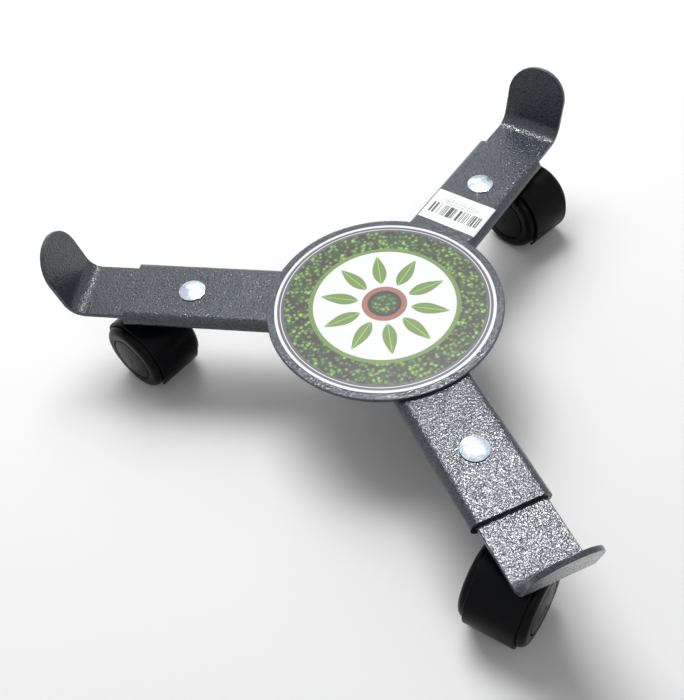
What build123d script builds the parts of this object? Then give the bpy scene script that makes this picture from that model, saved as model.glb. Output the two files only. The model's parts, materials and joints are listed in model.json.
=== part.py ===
from build123d import *
from math import cos, radians, sin, sqrt
import os

# Extendable three-armed plant caddy: a round plate on three C-rails, each rail
# guiding a flat slide with an upturned tongue and a hooded twin-wheel caster.
# Millimetres, +Z up. The origin is the centre of the surface that a pot stands on,
# which is the top of the round label on the plate.

# Centre plate and the labels stuck on top
plate_diameter = 120.0
plate_thickness = 2.0
plate_edge_round = 0.5
round_label_diameter = 112.0
label_thickness = 0.2
arm_label_length = 23.7
arm_label_wrap = 25.0
arm_label_margin = 2.65

# Rails: a C-section of folded sheet with round sides and a gap underneath
rail_width = 40.0
rail_sheet = 2.0
rail_gap = 22.0
rail_inner_end = 14.0
rail_outer_end = 133.4

# Slides: a flat strip with a slot, ending in an upturned round tongue
slide_thickness = 2.5
slide_side_clearance = 0.33
slide_top_clearance = 0.8
slide_lower_clearance = 1.7
slide_edge_round = 0.5
slide_travel = 50.0
slide_least_showing = 5.0
slide_inner_land = 14.0
bend_radius = 8.0
tongue_lean = 76.0
tongue_length = 43.0
tongue_tip_flat = 1.0

# Guide rivets, one through each rail and the slot of its slide
rivet_setback = 33.4
rivet_head_diameter = 14.0
rivet_head_height = 2.0
rivet_head_rim = 0.7
rivet_shank_diameter = 7.0
rivet_tail_diameter = 10.5
rivet_tail_height = 1.8
slot_clearance = 0.5
washer_diameter = 17.0
washer_thickness = 1.5
washer_clearance = 0.3

# Casters
stem_setback = 16.6
caster_trail = 12.0
running_gap = 0.35
bush_diameter = 14.0
bush_height = 7.6
bush_chamfer = 1.0
pin_diameter = 8.0
pin_clearance = 0.08
pin_groove_depth = 0.7
pin_tail = 1.4
pin_chamfer = 0.6
clip_diameter = 11.0
clip_thickness = 0.8
clip_opening = 4.0
wheel_diameter = 40.0
wheel_width = 10.0
wheel_spacing = 13.2
wheel_tread_wall = 2.8
wheel_tread_draft = 0.4
wheel_face_wall = 3.2
wheel_inner_chamfer = 0.6
wheel_shoulder = 3.6
wheel_cap_diameter = 25.0
wheel_cap_dome = 0.6
wheel_groove_width = 1.0
wheel_groove_depth = 0.8
wheel_hub_diameter = 10.4
axle_diameter = 6.0
axle_clearance = 0.06
axle_seat = 0.5
axle_chamfer = 0.5
hood_gap = 0.5
hood_wall = 1.4
hood_width = 25.0
hood_rear_lip = 35.0
hood_front_lip = 8.0
hood_rim_round = 0.5
hood_web = 5.0
hood_web_hub_diameter = 12.0
hood_crown_clearance = 1.2
stem_boss_diameter = 12.4
stem_boss_drop = 4.0

# The arms' middle lines meet a little behind the plate's centre. Then their directions,
# how far each slide shows beyond its rail up to the bend, and the way each caster
# trails; the angles are degrees about +Z from +X
arms_behind_centre = 3.9
arm_angles = {"right": 32.0, "left": 148.0, "front": 270.0}
slide_showing = {"right": 18.0, "left": 21.6, "front": 28.2}
trail_angles = {"right": 288.4, "left": 295.6, "front": 214.3}

# Heights that follow from the sizes above
plate_top = -label_thickness
rail_top = plate_top - plate_thickness
rail_hollow = slide_top_clearance + slide_thickness + slide_lower_clearance
rail_height = rail_hollow + 2 * rail_sheet
rail_middle = rail_top - rail_height / 2
slide_top = rail_top - rail_sheet - slide_top_clearance
slide_bottom = slide_top - slide_thickness
washer_top = slide_bottom - washer_clearance
washer_bottom = washer_top - washer_thickness
bush_bottom = slide_bottom - bush_height
hood_collar_top = bush_bottom - running_gap

# Plan sizes that follow
arm_label_start = plate_diameter / 2 + arm_label_margin
rail_half_flat = (rail_width - rail_height) / 2
rivet_distance = rail_outer_end - rivet_setback
slot_width = rivet_shank_diameter + 2 * slot_clearance

# The slide is as wide as its rounded edges allow inside the rail's round sides
edge_reach = rail_hollow / 2 - slide_side_clearance - slide_edge_round
edge_rise = rail_hollow / 2 - slide_top_clearance - slide_edge_round
slide_width = 2 * (rail_half_flat + sqrt(edge_reach**2 - edge_rise**2) + slide_edge_round)

# Caster sizes that follow
wheel_radius = wheel_diameter / 2
wheel_inner_face = wheel_spacing / 2
wheel_outer_face = wheel_inner_face + wheel_width
wheel_web = wheel_outer_face - wheel_face_wall
axle_half_length = wheel_web + axle_seat
hood_inner_radius = wheel_radius + hood_gap
hood_radius = hood_inner_radius + hood_wall
axle_height = bush_bottom - hood_crown_clearance - hood_radius
boss_bottom = axle_height - stem_boss_drop
clip_top = boss_bottom - running_gap
clip_bottom = clip_top - clip_thickness
pin_bottom = clip_bottom - pin_tail
pin_groove_radius = pin_diameter / 2 - pin_groove_depth

arms_meet = Vector(0, arms_behind_centre, 0)

os.makedirs("parts", exist_ok=True)


def save(piece, label):
    piece.label = label
    export_step(piece, f"parts/{label}.step")


def across_arm(angle, distance):
    """Plane square to an arm, local X sideways and local Y up, facing outwards."""
    a = radians(angle)
    return Plane(
        origin=arms_meet + Vector(distance * cos(a), distance * sin(a), 0),
        x_dir=(-sin(a), cos(a), 0),
        z_dir=(cos(a), sin(a), 0),
    )


def along(angle, origin=arms_meet):
    """Upright plane through the point given, local X at the angle and local Y up."""
    a = radians(angle)
    return Plane(origin=origin, x_dir=(cos(a), sin(a), 0), z_dir=(sin(a), -cos(a), 0))


def above(angle, distance, height):
    """Level plane over an arm, local X outwards."""
    a = radians(angle)
    return Plane(
        origin=arms_meet + Vector(distance * cos(a), distance * sin(a), height),
        x_dir=(cos(a), sin(a), 0),
        z_dir=(0, 0, 1),
    )


def make_plate():
    with BuildPart() as plate:
        with BuildSketch(Plane.XY.offset(plate_top)):
            Circle(plate_diameter / 2)
        extrude(amount=-plate_thickness)
        fillet(plate.edges().filter_by(GeomType.CIRCLE), plate_edge_round)
    return plate.part


def make_round_label():
    with BuildPart() as label:
        with BuildSketch(Plane.XY.offset(plate_top)):
            Circle(round_label_diameter / 2)
        extrude(amount=label_thickness)
    return label.part


def make_arm_label(angle):
    """A strip as wide as the rail's flat top, its ends turned down over the shoulders."""
    inside = rail_height / 2
    outside = inside + label_thickness
    right = (rail_half_flat, rail_middle)
    left = (-rail_half_flat, rail_middle)
    with BuildPart() as label:
        with BuildSketch(across_arm(angle, arm_label_start)):
            with BuildLine():
                inner_right = CenterArc(right, inside, 90 - arm_label_wrap, arm_label_wrap)
                outer_right = CenterArc(right, outside, 90 - arm_label_wrap, arm_label_wrap)
                inner_left = CenterArc(left, inside, 90, arm_label_wrap)
                outer_left = CenterArc(left, outside, 90, arm_label_wrap)
                Line(inner_right @ 1, inner_left @ 0)
                Line(outer_right @ 1, outer_left @ 0)
                Line(inner_right @ 0, outer_right @ 0)
                Line(inner_left @ 1, outer_left @ 1)
            make_face()
        extrude(amount=arm_label_length)
    return label.part


def make_rail(angle):
    """C-section: a slot shape, hollowed, with its underside opened by the gap."""
    with BuildPart() as rail:
        with BuildSketch(across_arm(angle, rail_inner_end)):
            with Locations((0, rail_middle)):
                SlotOverall(rail_width, rail_height)
                SlotOverall(rail_width - 2 * rail_sheet, rail_hollow, mode=Mode.SUBTRACT)
            with Locations((0, rail_top - rail_height)):
                Rectangle(rail_gap, 2 * rail_sheet, mode=Mode.SUBTRACT)
        extrude(amount=rail_outer_end - rail_inner_end)
        with BuildSketch(above(angle, rivet_distance, rail_top)):
            Circle(rivet_shank_diameter / 2)
        extrude(amount=-rail_sheet, mode=Mode.SUBTRACT)
    return rail.part


def make_slide(angle, showing):
    """Strip bent up at its outer end, slotted, with a round tip on the tongue."""
    bend_start = rail_outer_end + showing
    slot_outer = rivet_distance + showing - slide_least_showing
    slot_inner = slot_outer - slide_travel
    inner_end = slot_inner - slot_width / 2 - slide_inner_land
    outer_radius = bend_radius + slide_thickness
    straight = tongue_length - radians(tongue_lean) * (bend_radius + slide_thickness / 2)
    rise = straight * Vector(cos(radians(tongue_lean)), sin(radians(tongue_lean)))
    bend_centre = (bend_start, slide_top + bend_radius)
    with BuildPart() as slide:
        with BuildSketch(along(angle)):
            with BuildLine():
                upper = CenterArc(bend_centre, bend_radius, -90, tongue_lean)
                lower = CenterArc(bend_centre, outer_radius, -90, tongue_lean)
                inner_face = Line(upper @ 1, (upper @ 1) + rise)
                outer_face = Line(lower @ 1, (lower @ 1) + rise)
                Line(inner_face @ 1, outer_face @ 1)
                Polyline(
                    upper @ 0,
                    (inner_end, slide_top),
                    (inner_end, slide_bottom),
                    lower @ 0,
                )
            make_face()
        extrude(amount=slide_width / 2, both=True)
        across_sheet = slide.edges().filter_by(lambda e: e.length < 1.01 * slide_thickness)
        fillet(across_sheet.group_by(Axis.Z)[-1], (slide_width - tongue_tip_flat) / 2)
        long_sides = slide.faces().filter_by(Axis(along(angle).origin, along(angle).z_dir))
        rims = long_sides.edges().filter_by(lambda e: e.length > 1.01 * slide_thickness)
        fillet(rims, slide_edge_round)
        with BuildSketch(above(angle, (slot_inner + slot_outer) / 2, slide_top)):
            SlotCenterToCenter(slot_outer - slot_inner, slot_width)
        extrude(amount=-slide_thickness, mode=Mode.SUBTRACT)
    return slide.part


def make_rivet(angle):
    """Domed head on the rail, shank through the slot, tail spread under the washer."""
    head = rivet_head_diameter / 2
    shank = rivet_shank_diameter / 2
    tail = rivet_tail_diameter / 2
    crown = (0, rail_top + rivet_head_height)
    foot = (0, washer_bottom - rivet_tail_height)
    middle = above(angle, rivet_distance, 0).origin
    with BuildPart() as rivet:
        with BuildSketch(along(angle, middle)):
            with BuildLine():
                TangentArc(crown, (head, rail_top + rivet_head_rim), tangent=(1, 0))
                Polyline(
                    (head, rail_top + rivet_head_rim),
                    (head, rail_top),
                    (shank, rail_top),
                    (shank, washer_bottom),
                    (tail, washer_bottom),
                )
                TangentArc(foot, (tail, washer_bottom), tangent=(1, 0))
                Line(foot, crown)
            make_face()
        revolve(axis=Axis(middle, (0, 0, 1)))
    return rivet.part


def make_washer(angle):
    with BuildPart() as washer:
        with BuildSketch(above(angle, rivet_distance, washer_bottom)):
            Circle(washer_diameter / 2)
            Circle(rivet_shank_diameter / 2, mode=Mode.SUBTRACT)
        extrude(amount=washer_thickness)
    return washer.part


def make_bush(angle, stem):
    """Round spacer under the slide that the swivel pin is pressed into."""
    with BuildPart() as bush:
        with BuildSketch(above(angle, stem, bush_bottom)):
            Circle(bush_diameter / 2)
            Circle(pin_diameter / 2, mode=Mode.SUBTRACT)
        extrude(amount=bush_height)
        lower_rim = bush.edges().group_by(Axis.Z)[0].sort_by(SortBy.LENGTH)[-1]
        chamfer(lower_rim, bush_chamfer)
    return bush.part


def make_pin(angle, stem):
    """Swivel pin, with a groove for the clip near its foot."""
    radius = pin_diameter / 2
    middle = above(angle, stem, 0).origin
    with BuildPart() as pin:
        with BuildSketch(along(angle, middle)):
            with BuildLine():
                Polyline(
                    (0, slide_bottom),
                    (radius, slide_bottom),
                    (radius, clip_top),
                    (pin_groove_radius, clip_top),
                    (pin_groove_radius, clip_bottom),
                    (radius, clip_bottom),
                    (radius, pin_bottom + pin_chamfer),
                    (radius - pin_chamfer, pin_bottom),
                    (0, pin_bottom),
                    close=True,
                )
            make_face()
        revolve(axis=Axis(middle, (0, 0, 1)))
    return pin.part


def make_clip(angle, stem):
    """Open ring in the pin's groove, which keeps the hood on its pin."""
    with BuildPart() as clip:
        with BuildSketch(above(angle, stem, clip_bottom)):
            Circle(clip_diameter / 2)
            Circle(pin_groove_radius, mode=Mode.SUBTRACT)
            with Locations((clip_diameter / 2, 0)):
                Rectangle(clip_diameter, clip_opening, mode=Mode.SUBTRACT)
        extrude(amount=clip_thickness)
    return clip.part


def axle_centre(angle, stem, trail):
    swivel = above(angle, stem, axle_height).origin
    return swivel + caster_trail * Vector(cos(radians(trail)), sin(radians(trail)), 0)


def make_hood(angle, stem, trail):
    """Half-barrel mantle on a middle web that holds the swivel boss and the axle."""
    side = along(trail + 180, axle_centre(angle, stem, trail))
    rear = radians(180 + hood_rear_lip)
    front = radians(hood_front_lip)
    reach = 2 * hood_radius
    mouth = [
        (0, 0),
        (reach * cos(rear), reach * sin(rear)),
        (-reach, -2 * reach),
        (reach, -2 * reach),
        (reach * cos(front), reach * sin(front)),
    ]
    with BuildPart() as hood:
        with BuildSketch(side):
            Circle(hood_radius)
            Circle(hood_inner_radius, mode=Mode.SUBTRACT)
            Polygon(*mouth, align=None, mode=Mode.SUBTRACT)
        extrude(amount=hood_width / 2, both=True)
        round_edges = hood.edges().filter_by(GeomType.CIRCLE)
        fillet(round_edges.filter_by(lambda e: e.radius > hood_inner_radius + 0.01), hood_rim_round)
        with BuildSketch(side):
            Circle(hood_inner_radius + hood_wall / 2)
            Polygon(*mouth, align=None, mode=Mode.SUBTRACT)
            Circle(hood_web_hub_diameter / 2)
        extrude(amount=hood_web / 2, both=True)
        with BuildSketch(side):
            Circle(wheel_hub_diameter / 2)
        extrude(amount=wheel_inner_face - running_gap, both=True)
        with BuildSketch(above(angle, stem, boss_bottom)):
            Circle(stem_boss_diameter / 2)
        extrude(amount=hood_collar_top - boss_bottom)
        with BuildSketch(above(angle, stem, boss_bottom)):
            Circle(pin_diameter / 2 + pin_clearance)
        extrude(amount=hood_collar_top - boss_bottom, mode=Mode.SUBTRACT)
        with BuildSketch(side):
            Circle(axle_diameter / 2)
        extrude(amount=wheel_inner_face, both=True, mode=Mode.SUBTRACT)
    return hood.part


def make_axle(angle, stem, trail):
    with BuildPart() as axle:
        with BuildSketch(along(trail + 180, axle_centre(angle, stem, trail))):
            Circle(axle_diameter / 2)
        extrude(amount=axle_half_length, both=True)
        chamfer(axle.edges().filter_by(GeomType.CIRCLE), axle_chamfer)
    return axle.part


def make_wheel(angle, stem, trail, hand):
    """Hollow wheel with a capped outer face; hand is +1 or -1 along the axle."""
    centre = axle_centre(angle, stem, trail)
    side = along(trail + 180, centre)
    section = Plane(origin=centre, x_dir=side.z_dir * hand, z_dir=side.x_dir * -hand)
    bore = axle_diameter / 2 + axle_clearance
    hub = wheel_hub_diameter / 2
    cap = wheel_cap_diameter / 2
    tread_inside = wheel_radius - wheel_tread_wall
    shoulder_start = (wheel_outer_face - wheel_shoulder, wheel_radius)
    shoulder_end = (wheel_outer_face, wheel_radius - wheel_shoulder)
    groove_floor = wheel_outer_face - wheel_groove_depth
    crown = (wheel_outer_face + wheel_cap_dome, 0)
    bore_end = axle_half_length + running_gap
    with BuildPart() as wheel:
        with BuildSketch(section):
            with BuildLine():
                Polyline(
                    (bore_end, 0),
                    (bore_end, bore),
                    (wheel_inner_face, bore),
                    (wheel_inner_face, hub),
                    (wheel_web, hub),
                    (wheel_web, tread_inside),
                    (wheel_inner_face, tread_inside + wheel_tread_draft),
                    (wheel_inner_face, wheel_radius - wheel_inner_chamfer),
                    (wheel_inner_face + wheel_inner_chamfer, wheel_radius),
                    shoulder_start,
                )
                TangentArc(shoulder_start, shoulder_end, tangent=(1, 0))
                Polyline(
                    shoulder_end,
                    (wheel_outer_face, cap + wheel_groove_width),
                    (groove_floor, cap + wheel_groove_width),
                    (groove_floor, cap),
                    (wheel_outer_face, cap),
                )
                TangentArc(crown, (wheel_outer_face, cap), tangent=(0, 1))
                Line(crown, (bore_end, 0))
            make_face()
        revolve(axis=Axis(centre, side.z_dir))
    return wheel.part


save(make_plate(), "centre_plate")
save(make_round_label(), "round_label")
save(make_arm_label(arm_angles["right"]), "arm_label")
save(Compound(children=[make_rivet(a) for a in arm_angles.values()]), "guide_rivets")
save(Compound(children=[make_washer(a) for a in arm_angles.values()]), "guide_washers")

for arm, angle in arm_angles.items():
    showing = slide_showing[arm]
    trail = trail_angles[arm]
    stem = rail_outer_end + showing - stem_setback
    save(make_rail(angle), f"rail_{arm}")
    save(make_slide(angle, showing), f"slide_{arm}")
    save(make_bush(angle, stem), f"caster_bush_{arm}")
    save(make_pin(angle, stem), f"swivel_pin_{arm}")
    save(make_clip(angle, stem), f"pin_clip_{arm}")
    save(make_hood(angle, stem, trail), f"caster_hood_{arm}")
    save(make_axle(angle, stem, trail), f"caster_axle_{arm}")
    save(make_wheel(angle, stem, trail, 1), f"wheel_a_{arm}")
    save(make_wheel(angle, stem, trail, -1), f"wheel_b_{arm}")
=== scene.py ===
import json
import math
import bpy
from mathutils import Matrix, Vector


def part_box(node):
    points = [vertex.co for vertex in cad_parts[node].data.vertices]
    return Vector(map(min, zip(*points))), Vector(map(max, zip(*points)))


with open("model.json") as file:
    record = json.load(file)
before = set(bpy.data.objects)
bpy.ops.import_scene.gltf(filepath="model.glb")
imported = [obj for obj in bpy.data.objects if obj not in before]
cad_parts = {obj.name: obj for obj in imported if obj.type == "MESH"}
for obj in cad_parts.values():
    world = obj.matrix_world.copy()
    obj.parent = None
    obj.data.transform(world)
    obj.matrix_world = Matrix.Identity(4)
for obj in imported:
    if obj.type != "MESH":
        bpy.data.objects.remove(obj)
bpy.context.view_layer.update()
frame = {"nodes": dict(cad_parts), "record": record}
print("frame loaded:", len(frame["nodes"]), "nodes")


# Helpers for node materials

def startMaterial(name, **shaderInputs):
    material = bpy.data.materials.new(name)
    material.use_nodes = True
    tree = material.node_tree
    tree.nodes.clear()
    output = tree.nodes.new("ShaderNodeOutputMaterial")
    shader = tree.nodes.new("ShaderNodeBsdfPrincipled")
    tree.links.new(shader.outputs["BSDF"], output.inputs["Surface"])
    setInputs(tree, shader, {key.replace("_", " "): value for key, value in shaderInputs.items()})
    return material, tree, shader


def setInputs(tree, node, inputs):
    for key, value in inputs.items():
        if isinstance(value, bpy.types.NodeSocket):
            tree.links.new(value, node.inputs[key])
        else:
            node.inputs[key].default_value = value


def add(tree, kind, inputs=None, **settings):  # returns the node's first output
    node = tree.nodes.new("ShaderNode" + kind)
    for key, value in settings.items():
        setattr(node, key, value)
    setInputs(tree, node, inputs or {})
    return node.outputs[0]


def math2(tree, operation, a, b=0.0, clamp=False):
    return add(tree, "Math", {0: a, 1: b}, operation=operation, use_clamp=clamp)


def remap(tree, value, low, high, toLow=0.0, toHigh=1.0, smooth=True):
    kind = "SMOOTHSTEP" if smooth else "LINEAR"
    inputs = {"Value": value, "From Min": low, "From Max": high, "To Min": toLow, "To Max": toHigh}
    return add(tree, "MapRange", inputs, interpolation_type=kind)


def noise(tree, coords, scale, detail=0.0, distortion=0.0, roughness=0.5):
    inputs = {"Vector": coords, "Scale": scale, "Detail": detail,
              "Distortion": distortion, "Roughness": roughness}
    return add(tree, "TexNoise", inputs)


def blendColours(tree, factor, first, second):
    node = tree.nodes.new("ShaderNodeMix")
    node.data_type = "RGBA"
    setInputs(tree, node, {0: factor, 6: first, 7: second})
    return node.outputs[2]


def bump(tree, height, strength, distance):
    return add(tree, "Bump", {"Height": height, "Strength": strength, "Distance": distance})


def objectCoords(tree):
    node = tree.nodes.new("ShaderNodeTexCoord")
    return node.outputs["Object"]


def paint(nodeName, material):
    thing = frame["nodes"][nodeName]
    thing.data.materials.clear()
    thing.data.materials.append(material)


# Hammered enamel: dark paint with a fine worm-like silver fleck, on an uneven film

hammered = {
    "dark": (0.008, 0.010, 0.013, 1.0),
    "silver": (0.078, 0.098, 0.130, 1.0),
    "metallic": 0.18,
    "specular": 0.12,
    "roughness": (0.34, 0.22),      # on the dark, then on the silver
    "wormScale": 980.0,             # per metre, so a fleck is about 1 mm long
    "wormWidth": 0.10,
    "wormShare": 0.72,
    "fleckScale": 2000.0,
    "fleckRange": (0.36, 0.66),
    "fleckShare": 0.26,
    "cloudScale": 38.0,
    "cloudShade": (0.85, 1.12),
    "fleckRelief": 0.15,            # beside the worm's
    "reliefDepth": 0.00026,         # metres
    "coat": 0.75,
    "coatRoughness": 0.08,
}


def makeHammered():
    look = hammered
    material, tree, shader = startMaterial("hammeredEnamel")
    coords = objectCoords(tree)
    worm = noise(tree, coords, look["wormScale"], detail=0.6, distortion=0.7)
    ridge = math2(tree, "ABSOLUTE", math2(tree, "SUBTRACT", worm, 0.5))
    line = remap(tree, ridge, 0.0, look["wormWidth"], 1.0, 0.0)
    fleck = noise(tree, coords, look["fleckScale"], detail=1.0, distortion=0.4)
    grain = remap(tree, fleck, *look["fleckRange"])
    cloud = noise(tree, coords, look["cloudScale"], detail=2.0)
    shade = remap(tree, cloud, 0.3, 0.7, *look["cloudShade"])
    lineShare = math2(tree, "MULTIPLY", line, look["wormShare"])
    grainShare = math2(tree, "MULTIPLY", grain, look["fleckShare"])
    mixed = math2(tree, "ADD", lineShare, grainShare)
    amount = math2(tree, "MULTIPLY", mixed, shade, clamp=True)
    lowRelief = math2(tree, "MULTIPLY", fleck, look["fleckRelief"])
    relief = bump(tree, math2(tree, "ADD", worm, lowRelief), 1.0, look["reliefDepth"])
    setInputs(tree, shader, {
        "Base Color": blendColours(tree, amount, look["dark"], look["silver"]),
        "Metallic": look["metallic"],
        "Specular IOR Level": look["specular"],
        "Roughness": remap(tree, amount, 0.0, 1.0, *look["roughness"]),
        "Normal": relief,
        "Coat Normal": relief,
        "Coat Weight": look["coat"],
        "Coat Roughness": look["coatRoughness"],
    })
    return material


# Bright zinc on the rivets: cloudy passivation over a lightly dimpled dome

zinc = {
    "pale": (0.64, 0.70, 0.76, 1.0),
    "cloud": (0.33, 0.39, 0.48, 1.0),
    "cloudScale": 260.0,
    "roughness": (0.16, 0.34),
    "dimpleScale": 420.0,
    "dimpleStrength": 0.32,
    "dimpleDepth": 0.0006,
}


def makeZinc():
    material, tree, shader = startMaterial("brightZinc", Metallic=1.0)
    coords = objectCoords(tree)
    cloud = noise(tree, coords, zinc["cloudScale"], detail=4.0, distortion=1.4, roughness=0.6)
    dimple = noise(tree, coords, zinc["dimpleScale"], detail=2.0)
    factor = remap(tree, cloud, 0.38, 0.66)
    setInputs(tree, shader, {
        "Base Color": blendColours(tree, factor, zinc["pale"], zinc["cloud"]),
        "Roughness": remap(tree, cloud, 0.3, 0.7, *zinc["roughness"]),
        "Normal": bump(tree, dimple, zinc["dimpleStrength"], zinc["dimpleDepth"]),
    })
    return material


# Plain turned steel on the pins, clips and axles

steel = {
    "clean": (0.46, 0.47, 0.49, 1.0),
    "stained": (0.24, 0.24, 0.25, 1.0),
    "stainScale": 160.0,
    "fineScale": 1800.0,
    "roughness": (0.26, 0.42),
}


def makeSteel():
    material, tree, shader = startMaterial("turnedSteel", Metallic=1.0)
    coords = objectCoords(tree)
    fine = noise(tree, coords, steel["fineScale"], detail=2.0)
    stain = noise(tree, coords, steel["stainScale"], detail=3.0)
    factor = remap(tree, stain, 0.4, 0.7)
    setInputs(tree, shader, {
        "Base Color": blendColours(tree, factor, steel["clean"], steel["stained"]),
        "Roughness": remap(tree, fine, 0.3, 0.7, *steel["roughness"]),
        "Normal": bump(tree, fine, 0.2, 0.0001),
    })
    return material


# Moulded black plastics: satin on the hoods, glossier on the wheels

plastics = {
    "specular": 0.07,
    "grainScale": 3200.0,
    "smearScale": 90.0,
    "dustiest": 0.55,
    "hood": {
        "base": (0.0020, 0.0023, 0.0032, 1.0),
        "dust": (0.006, 0.007, 0.009, 1.0),
        "roughness": (0.26, 0.40),
    },
    "wheel": {
        "base": (0.0018, 0.0018, 0.0021, 1.0),
        "dust": (0.005, 0.005, 0.006, 1.0),
        "roughness": (0.22, 0.36),
    },
}


def makePlastic(name, look):
    material, tree, shader = startMaterial(name, Specular_IOR_Level=plastics["specular"])
    coords = objectCoords(tree)
    grain = noise(tree, coords, plastics["grainScale"], detail=1.0)
    smear = noise(tree, coords, plastics["smearScale"], detail=3.0, distortion=0.6)
    dusty = remap(tree, smear, 0.48, 0.78, 0.0, plastics["dustiest"])
    setInputs(tree, shader, {
        "Base Color": blendColours(tree, dusty, look["base"], look["dust"]),
        "Roughness": remap(tree, smear, 0.3, 0.75, *look["roughness"]),
        "Normal": bump(tree, grain, 0.12, 0.00008),
    })
    return material


# Printed labels: one round design that is the same all the way round, and plain bars

roundPrint = {
    "paper": (0.78, 0.80, 0.87, 1.0),
    "grey": (0.085, 0.090, 0.098, 1.0),
    "leafDark": (0.012, 0.050, 0.012, 1.0),
    "leafPale": (0.360, 0.600, 0.100, 1.0),
    "soil": (0.018, 0.011, 0.011, 1.0),
    "clay": (0.400, 0.150, 0.090, 1.0),
    "clayDark": (0.250, 0.085, 0.050, 1.0),
    "band": (0.130, 0.235, 0.045, 1.0),
    # radii in metres, from the rim inwards
    "greyOuter": 0.0545,
    "whiteLine": 0.0529,
    "whiteLineHalf": 0.00022,
    "greyInner": 0.0512,
    "foliageInner": 0.0385,
    "bandInner": 0.0362,
    "clayOuter": 0.0115,
    "potMouth": 0.0086,
    "sprout": 0.0064,
    "leaflets": 430.0,     # per metre
    "bushes": 130.0,
    "petals": 10,
    "petalReach": (0.0135, 0.0335),
    "petalHalfWidth": 0.0036,
    "ribHalfWidth": 0.00018,
}


def smallerThan(tree, value, limit, soft=0.00007):
    return remap(tree, value, limit - soft, limit + soft, 1.0, 0.0)


def makeRoundPrint():
    look = roundPrint
    material, tree, shader = startMaterial(
        "roundPrint", Roughness=0.45, Coat_Weight=0.1, Coat_Roughness=0.2)
    coords = objectCoords(tree)
    axes = tree.nodes.new("ShaderNodeSeparateXYZ")
    tree.links.new(coords, axes.inputs[0])
    x, y = axes.outputs["X"], axes.outputs["Y"]
    flat = add(tree, "CombineXYZ", {"X": x, "Y": y})
    radius = tree.nodes.new("ShaderNodeVectorMath")
    radius.operation = "LENGTH"
    tree.links.new(flat, radius.inputs[0])
    radius = radius.outputs["Value"]
    angle = math2(tree, "ARCTAN2", y, x)

    def ring(middle, halfWidth):
        offset = math2(tree, "ABSOLUTE", math2(tree, "SUBTRACT", radius, middle))
        return smallerThan(tree, offset, halfWidth)

    # foliage: leaflets lit at their middles, in clumps, over soil
    cells = tree.nodes.new("ShaderNodeTexVoronoi")
    ripple = noise(tree, flat, 500.0, detail=2.0)
    push = math2(tree, "MULTIPLY", ripple, 0.0016)
    pushed = add(tree, "VectorMath", {0: flat, 1: push}, operation="ADD")
    setInputs(tree, cells, {"Vector": pushed, "Scale": look["leaflets"], "Randomness": 1.0})
    clump = remap(tree, noise(tree, flat, look["bushes"], detail=1.0), 0.38, 0.62)
    lit = remap(tree, cells.outputs["Distance"], 0.05, 0.62, 1.0, 0.0)
    pick = add(tree, "SeparateColor", {"Color": cells.outputs["Color"]})
    tone = math2(tree, "MULTIPLY", lit, remap(tree, pick, 0.0, 1.0, 0.35, 1.0, smooth=False))
    tone = math2(tree, "MULTIPLY", tone, remap(tree, clump, 0.0, 1.0, 0.55, 1.15))
    leaf = blendColours(tree, tone, look["leafDark"], look["leafPale"])
    gaps = remap(tree, lit, 0.10, 0.30, 1.0, 0.0)
    bare = math2(tree, "MULTIPLY", gaps, remap(tree, clump, 0.2, 0.6, 1.0, 0.15))
    foliage = blendColours(tree, bare, leaf, look["soil"])

    # a ring of plain leaves round a clay pot seen from above
    turns = math2(tree, "MULTIPLY", angle, look["petals"] / (2 * math.pi))
    local = math2(tree, "SUBTRACT", math2(tree, "FRACT", math2(tree, "ADD", turns, 100.5)), 0.5)
    side = math2(tree, "MULTIPLY", math2(tree, "ABSOLUTE", local), 2 * math.pi / look["petals"])
    side = math2(tree, "MULTIPLY", side, radius)
    along = remap(tree, radius, *look["petalReach"], smooth=False)
    bulge = math2(tree, "SINE", math2(tree, "MULTIPLY", math2(tree, "POWER", along, 0.8), math.pi))
    halfWidth = math2(tree, "MULTIPLY", bulge, look["petalHalfWidth"])
    petal = smallerThan(tree, math2(tree, "SUBTRACT", side, halfWidth), 0.0, 0.00008)
    petal = math2(tree, "MULTIPLY", petal, remap(tree, bulge, 0.02, 0.06))
    rib = math2(tree, "MULTIPLY", smallerThan(tree, side, look["ribHalfWidth"], 0.00005), petal)

    def layer(colour, factor, below):
        return blendColours(tree, factor, below, colour)

    def inside(limit):
        return smallerThan(tree, radius, limit)

    clay = blendColours(tree, noise(tree, flat, 520.0, detail=3.0), look["clayDark"], look["clay"])
    colour = layer(look["grey"], inside(look["greyOuter"]), look["paper"])
    colour = layer(look["paper"], ring(look["whiteLine"], look["whiteLineHalf"]), colour)
    colour = layer(foliage, inside(look["greyInner"]), colour)
    colour = layer(look["band"], inside(look["foliageInner"]), colour)
    colour = layer(look["paper"], inside(look["bandInner"]), colour)
    colour = layer(look["band"], petal, colour)
    colour = layer(look["leafPale"], rib, colour)
    colour = layer(clay, inside(look["clayOuter"]), colour)
    colour = layer(look["soil"], inside(look["potMouth"]), colour)
    colour = layer(leaf, inside(look["sprout"]), colour)
    film = noise(tree, coords, 900.0, detail=2.0)
    setInputs(tree, shader, {"Base Color": colour, "Normal": bump(tree, film, 0.05, 0.0001)})
    return material


barPrint = {
    "paper": (0.86, 0.87, 0.91, 1.0),
    "ink": (0.045, 0.045, 0.05, 1.0),
    "angle": 32.0,                      # the arm's, in degrees
    "armsMeet": (0.0, 0.0039, 0.0),
    # metres along the arm: the label's edge from where the arms meet, the rest from that edge
    "start": 0.06265,
    "bars": (0.0055, 0.0138),
    "barsHalfWidth": 0.0152,
    "barsPerMetre": 2600.0,
    "lines": [  # from, to, half width
        (0.0152, 0.0158, 0.009),
        (0.0170, 0.0176, 0.011),
        (0.0186, 0.0190, 0.008),
    ],
}


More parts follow.
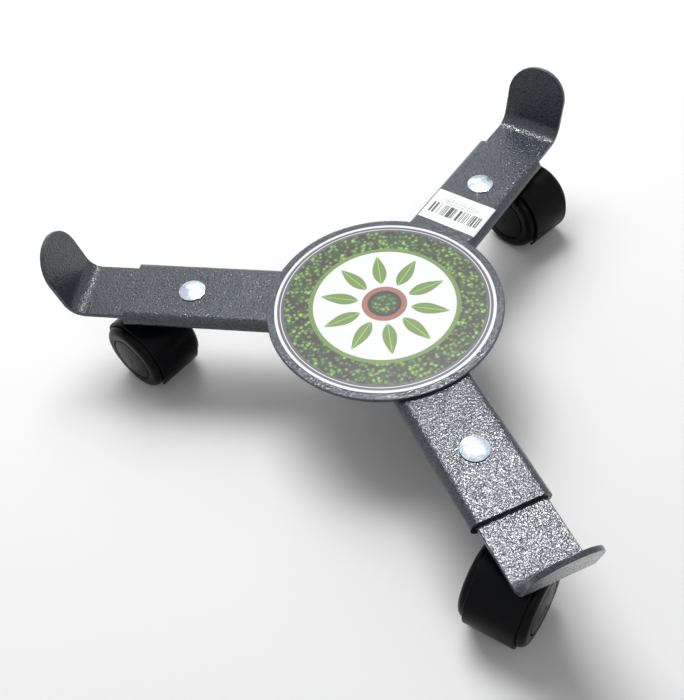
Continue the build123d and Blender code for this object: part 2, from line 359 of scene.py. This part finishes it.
def makeBarPrint():
    look = barPrint
    material, tree, shader = startMaterial(
        "barPrint", Roughness=0.38, Coat_Weight=0.2, Coat_Roughness=0.2)
    coords = objectCoords(tree)
    moved = add(tree, "VectorMath", {0: coords, 1: look["armsMeet"]}, operation="SUBTRACT")
    turned = add(tree, "VectorRotate", {"Vector": moved, "Angle": -math.radians(look["angle"])},
                 rotation_type="Z_AXIS")
    axes = tree.nodes.new("ShaderNodeSeparateXYZ")
    tree.links.new(turned, axes.inputs[0])
    along = math2(tree, "SUBTRACT", axes.outputs["X"], look["start"])
    across = axes.outputs["Y"]

    def band(value, low, high, soft=0.00006):
        rise = remap(tree, value, low - soft, low + soft)
        fall = remap(tree, value, high - soft, high + soft, 1.0, 0.0)
        return math2(tree, "MULTIPLY", rise, fall)

    strip = add(tree, "CombineXYZ", {"X": across})
    random = tree.nodes.new("ShaderNodeTexWhiteNoise")
    random.noise_dimensions = "1D"
    step = math2(tree, "FLOOR", math2(tree, "MULTIPLY", across, look["barsPerMetre"]))
    tree.links.new(step, random.inputs["W"])
    bars = remap(tree, random.outputs["Value"], 0.47, 0.50)
    wide = look["barsHalfWidth"]
    barBlock = math2(tree, "MULTIPLY", band(along, *look["bars"]), band(across, -wide, wide))
    ink = math2(tree, "MULTIPLY", bars, barBlock)
    words = noise(tree, strip, 1500.0, detail=1.0)
    for low, high, reach in look["lines"]:
        line = math2(tree, "MULTIPLY", band(along, low, high), band(across, -reach, reach))
        line = math2(tree, "MULTIPLY", line, remap(tree, words, 0.42, 0.50, 0.0, 0.7))
        ink = math2(tree, "MAXIMUM", ink, line)
    setInputs(tree, shader, {"Base Color": blendColours(tree, ink, look["paper"], look["ink"])})
    return material


finishes = {
    "hammered_paint": makeHammered(),
    "bright_zinc": makeZinc(),
    "plain_steel": makeSteel(),
    "hood_plastic": makePlastic("satinHood", plastics["hood"]),
    "wheel_plastic": makePlastic("glossWheel", plastics["wheel"]),
    "label_film": makeRoundPrint(),
}
for part in frame["record"]["subparts"]:
    paint(part["node"], finishes[part["material_slot"]])
paint("arm_label", makeBarPrint())
print("finishes made:", len(bpy.data.materials))


# Studio: a pale floor that turns white further out, and soft lamps above, behind and in front

studio = {
    "floor": (0.93, 0.93, 0.935, 1.0),
    "floorSize": 12.0,
    "fade": (0.20, 0.62),      # metres from the middle, where the floor turns plain white
    "shade": (0.24, 0.24, 0.25, 1.0),   # the floor's colour for the light it throws back
    "skyLight": 0.26,
    "onlyInReflections": ["slideStrip"],
    "notInReflections": ["softBox"],
    "lamps": [  # name, place, aim, size, watts
        ("overheadBox", (0.14, 0.50, 1.12), (0.0, -0.05, 0.0), (0.62, 0.42), 3.6),
        ("softBox", (0.00, 0.70, 1.05), (0.0, 0.0, 0.0), (0.8, 0.7), 11.2),
        ("slideStrip", (0.346, 0.35, 1.08), (0.0, -0.14, 0.0), (0.46, 0.06), 9.6),
        ("backBox", (0.30, 1.35, 0.85), (0.0, 0.0, 0.0), (1.0, 0.4), 2.4),
        ("frontStrip", (0.05, -0.95, 0.95), (0.0, 0.0, 0.0), (0.8, 0.14), 1.3),
    ],
}


def seenDirectly(tree):  # 1 for what the camera, a mirror or glass sees
    light = tree.nodes.new("ShaderNodeLightPath")
    seen = light.outputs["Is Camera Ray"]
    for kind in ("Is Glossy Ray", "Is Transmission Ray"):
        seen = math2(tree, "MAXIMUM", seen, light.outputs[kind])
    return seen


def makeFloor():
    bpy.ops.object.select_all(action="DESELECT")
    low = min(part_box(n)[0][2] for n in frame["nodes"])
    bpy.ops.mesh.primitive_plane_add(size=studio["floorSize"], location=(0, 0, low))
    floor = bpy.context.object
    floor.name = "floor"
    bpy.ops.object.transform_apply(location=True, rotation=True, scale=True)
    material, tree, shader = startMaterial("paleFloor", Roughness=0.9)
    seen = seenDirectly(tree)
    colour = blendColours(tree, seen, studio["shade"], studio["floor"])
    away = tree.nodes.new("ShaderNodeVectorMath")
    away.operation = "LENGTH"
    tree.links.new(objectCoords(tree), away.inputs[0])
    far = remap(tree, away.outputs["Value"], *studio["fade"])
    glow = math2(tree, "MULTIPLY", far, seen)
    setInputs(tree, shader, {
        "Base Color": blendColours(tree, glow, colour, (0.0, 0.0, 0.0, 1.0)),
        "Specular IOR Level": 0.1,
        "Emission Color": (1.0, 1.0, 1.0, 1.0),
        "Emission Strength": glow,
    })
    floor.data.materials.append(material)


def makeLamps():
    for name, place, aim, size, watts in studio["lamps"]:
        data = bpy.data.lights.new(name, "AREA")
        data.shape = "RECTANGLE"
        data.size, data.size_y = size
        data.energy = watts
        lamp = bpy.data.objects.new(name, data)
        lamp.location = place
        lamp.rotation_euler = (Vector(aim) - Vector(place)).to_track_quat("-Z", "Y").to_euler()
        lamp.visible_diffuse = name not in studio["onlyInReflections"]
        lamp.visible_glossy = name not in studio["notInReflections"]
        bpy.context.scene.collection.objects.link(lamp)


def makeWorld():
    world = bpy.data.worlds.new("studioWorld")
    world.use_nodes = True
    bpy.context.scene.world = world
    tree = world.node_tree
    strength = remap(tree, seenDirectly(tree), 0.0, 1.0, studio["skyLight"], 1.0, smooth=False)
    background = {"Color": (1.0, 1.0, 1.0, 1.0), "Strength": strength}
    setInputs(tree, tree.nodes["Background"], background)


# Camera, measured against the photograph in its 684 x 700 frame

view = {
    "azimuth": 16.89,      # degrees, 0 looks along +Y
    "elevation": 50.74,
    "roll": 8.29,
    "distance": 0.4903,    # metres from the aim point
    "aim": (-0.0310, -0.0177),
    "focal": 1006.35,      # pixels across a 684 pixel frame
    "frameWidth": 684.0,
    "sensor": 36.0,
}


def makeCamera():
    azimuth, elevation, roll = (math.radians(view[k]) for k in ("azimuth", "elevation", "roll"))
    forward = Vector((math.cos(elevation) * math.sin(azimuth),
                      math.cos(elevation) * math.cos(azimuth), -math.sin(elevation)))
    right = forward.cross(Vector((0, 0, 1))).normalized()
    down = forward.cross(right)
    rightRolled = math.cos(roll) * right + math.sin(roll) * down
    downRolled = math.cos(roll) * down - math.sin(roll) * right
    data = bpy.data.cameras.new("photoCamera")
    data.sensor_fit = "HORIZONTAL"
    data.sensor_width = view["sensor"]
    data.lens = view["sensor"] * view["focal"] / view["frameWidth"]
    data.clip_start, data.clip_end = 0.01, 50.0
    camera = bpy.data.objects.new("photoCamera", data)
    turn = Matrix((rightRolled, -downRolled, -forward)).transposed()
    place = Vector((*view["aim"], 0.0)) - view["distance"] * forward
    camera.matrix_world = Matrix.Translation(place) @ turn.to_4x4()
    bpy.context.scene.collection.objects.link(camera)
    bpy.context.scene.camera = camera


makeFloor()
makeLamps()
makeWorld()
makeCamera()
bpy.context.scene.view_settings.view_transform = "Standard"
print("studio and camera placed")
